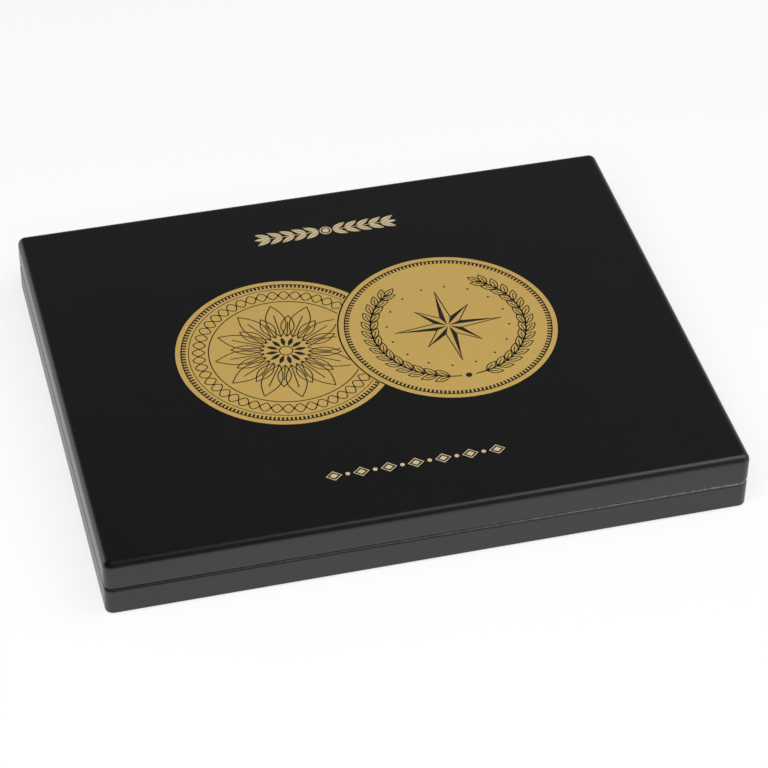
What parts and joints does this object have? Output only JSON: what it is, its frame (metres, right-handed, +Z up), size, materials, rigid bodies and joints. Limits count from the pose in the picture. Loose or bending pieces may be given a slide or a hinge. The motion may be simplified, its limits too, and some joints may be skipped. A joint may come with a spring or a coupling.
{
  "type": "coin case",
  "caption": "Flat black lacquered presentation case for encapsulated coins, with a hinged gold-printed lid, magnetic closure, padded satin lid lining and a flocked tray of round wells.",
  "frame": {"origin": "centre of the felt underside that the case rests on", "axes": "+X along the front to the right, +Y to the hinged rear, +Z up"},
  "size_m": [0.305, 0.2481, 0.0309],
  "materials": {
    "black_lacquer": "satin black lacquer on fibreboard",
    "black_felt": "pressed felt",
    "black_velour": "short flock",
    "lining_card": "grey card",
    "wadding": "soft wadding",
    "ivory_satin": "satin weave with sheen",
    "brass": "polished",
    "nickel": "nickel plated",
    "gold_foil": "hot-stamped foil"
  },
  "bodies": {
    "base": {"base_board": "black_lacquer", "base_felt": "black_felt", "base_front_rail": "black_lacquer", "base_right_rail": "black_lacquer", "base_rear_rail": "black_lacquer", "base_left_rail": "black_lacquer", "coin_tray": "black_velour", "base_left_magnet": "nickel", "base_right_magnet": "nickel", "left_hinge_base_leaf": "brass", "left_hinge_pin": "brass", "left_hinge_base_screws": "brass", "right_hinge_base_leaf": "brass", "right_hinge_pin": "brass", "right_hinge_base_screws": "brass"},
    "lid": {"lid_top_board": "black_lacquer", "lid_front_rail": "black_lacquer", "lid_right_rail": "black_lacquer", "lid_rear_rail": "black_lacquer", "lid_left_rail": "black_lacquer", "lid_lining_card": "lining_card", "lid_lining_wadding": "wadding", "lid_lining_satin": "ivory_satin", "lid_left_magnet": "nickel", "lid_right_magnet": "nickel", "gold_roundel_left": "gold_foil", "gold_roundel_right": "gold_foil", "gold_garland": "gold_foil", "gold_beading": "gold_foil", "left_hinge_lid_leaf": "brass", "left_hinge_lid_screws": "brass", "right_hinge_lid_leaf": "brass", "right_hinge_lid_screws": "brass"}
  },
  "joints": [
    {"name": "lid_hinge", "type": "hinge", "parent": "base", "child": "lid", "pos_m": [0, 0.123, 0.015], "axis": [-1, 0, 0], "range_deg": [0, 100]}
  ]
}
